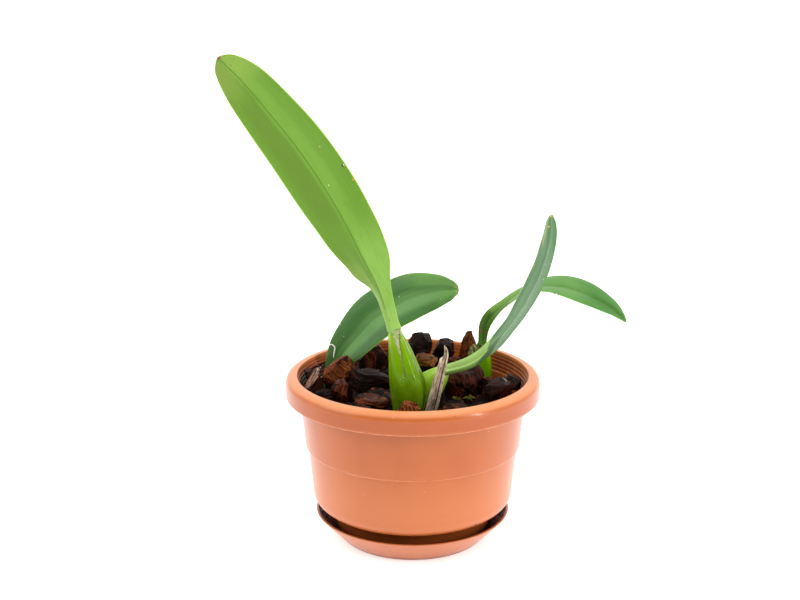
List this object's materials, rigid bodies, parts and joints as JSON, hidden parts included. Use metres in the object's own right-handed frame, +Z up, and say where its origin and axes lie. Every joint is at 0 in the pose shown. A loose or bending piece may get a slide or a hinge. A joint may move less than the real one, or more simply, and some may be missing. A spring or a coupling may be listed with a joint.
{
  "type": "potted bulbophyllum rufinum",
  "caption": "Young orchid with green pseudobulbs, each with one strap-shaped leaf, in pine bark in a round terracotta-coloured plastic pot with saucer.",
  "frame": {"origin": "centre of the saucer's flat underside, on the axis of pot and saucer", "axes": "+Z up along the pot's axis; -Y is the front, where the largest pseudobulb stands; +X is to the right seen from the front, away from the tall leaf's tip"},
  "size_m": [0.2005, 0.13, 0.2511],
  "materials": {
    "pot_plastic": "satin",
    "bark_dark": "matte",
    "bark_red": "matte",
    "bark_tan": "matte",
    "bark_pale": "matte",
    "leaf_young": "satin",
    "leaf_mature": "satin",
    "pseudobulb_skin": "gloss",
    "rhizome_cork": "matte",
    "dry_sheath": "matte"
  },
  "bodies": {
    "root": {"saucer": "pot_plastic", "pot": "pot_plastic", "bark_bed": "bark_dark", "bark_chip_back_left": "bark_red", "bark_chip_back": "bark_dark", "bark_chip_back_pointed": "bark_red", "bark_chip_back_dark": "bark_dark", "bark_chip_tan_slab": "bark_tan", "bark_chip_behind_petiole": "bark_dark", "bark_chip_leaning": "bark_red", "bark_chip_left_plate": "bark_red", "bark_chip_left_pale": "bark_pale", "bark_chip_long_dark": "bark_dark", "bark_chip_front_left": "bark_red", "bark_chip_front_small": "bark_red", "bark_chip_right_large": "bark_red", "bark_chip_right_black": "bark_dark", "bark_chip_right_wide": "bark_dark", "bark_chip_far_right": "bark_dark", "bark_chip_far_left": "bark_dark", "bark_chip_front_right": "bark_red", "bark_chip_right_small": "bark_red", "rhizome": "rhizome_cork", "pseudobulb_front": "pseudobulb_skin", "pseudobulb_right": "pseudobulb_skin", "pseudobulb_back": "pseudobulb_skin", "pseudobulb_left": "pseudobulb_skin", "leaf_tall": "leaf_young", "leaf_left": "leaf_mature", "leaf_right": "leaf_mature", "leaf_back": "leaf_mature", "dried_sheath": "dry_sheath", "clinging_sheath": "dry_sheath", "withered_sheath": "dry_sheath"}
  },
  "joints": []
}
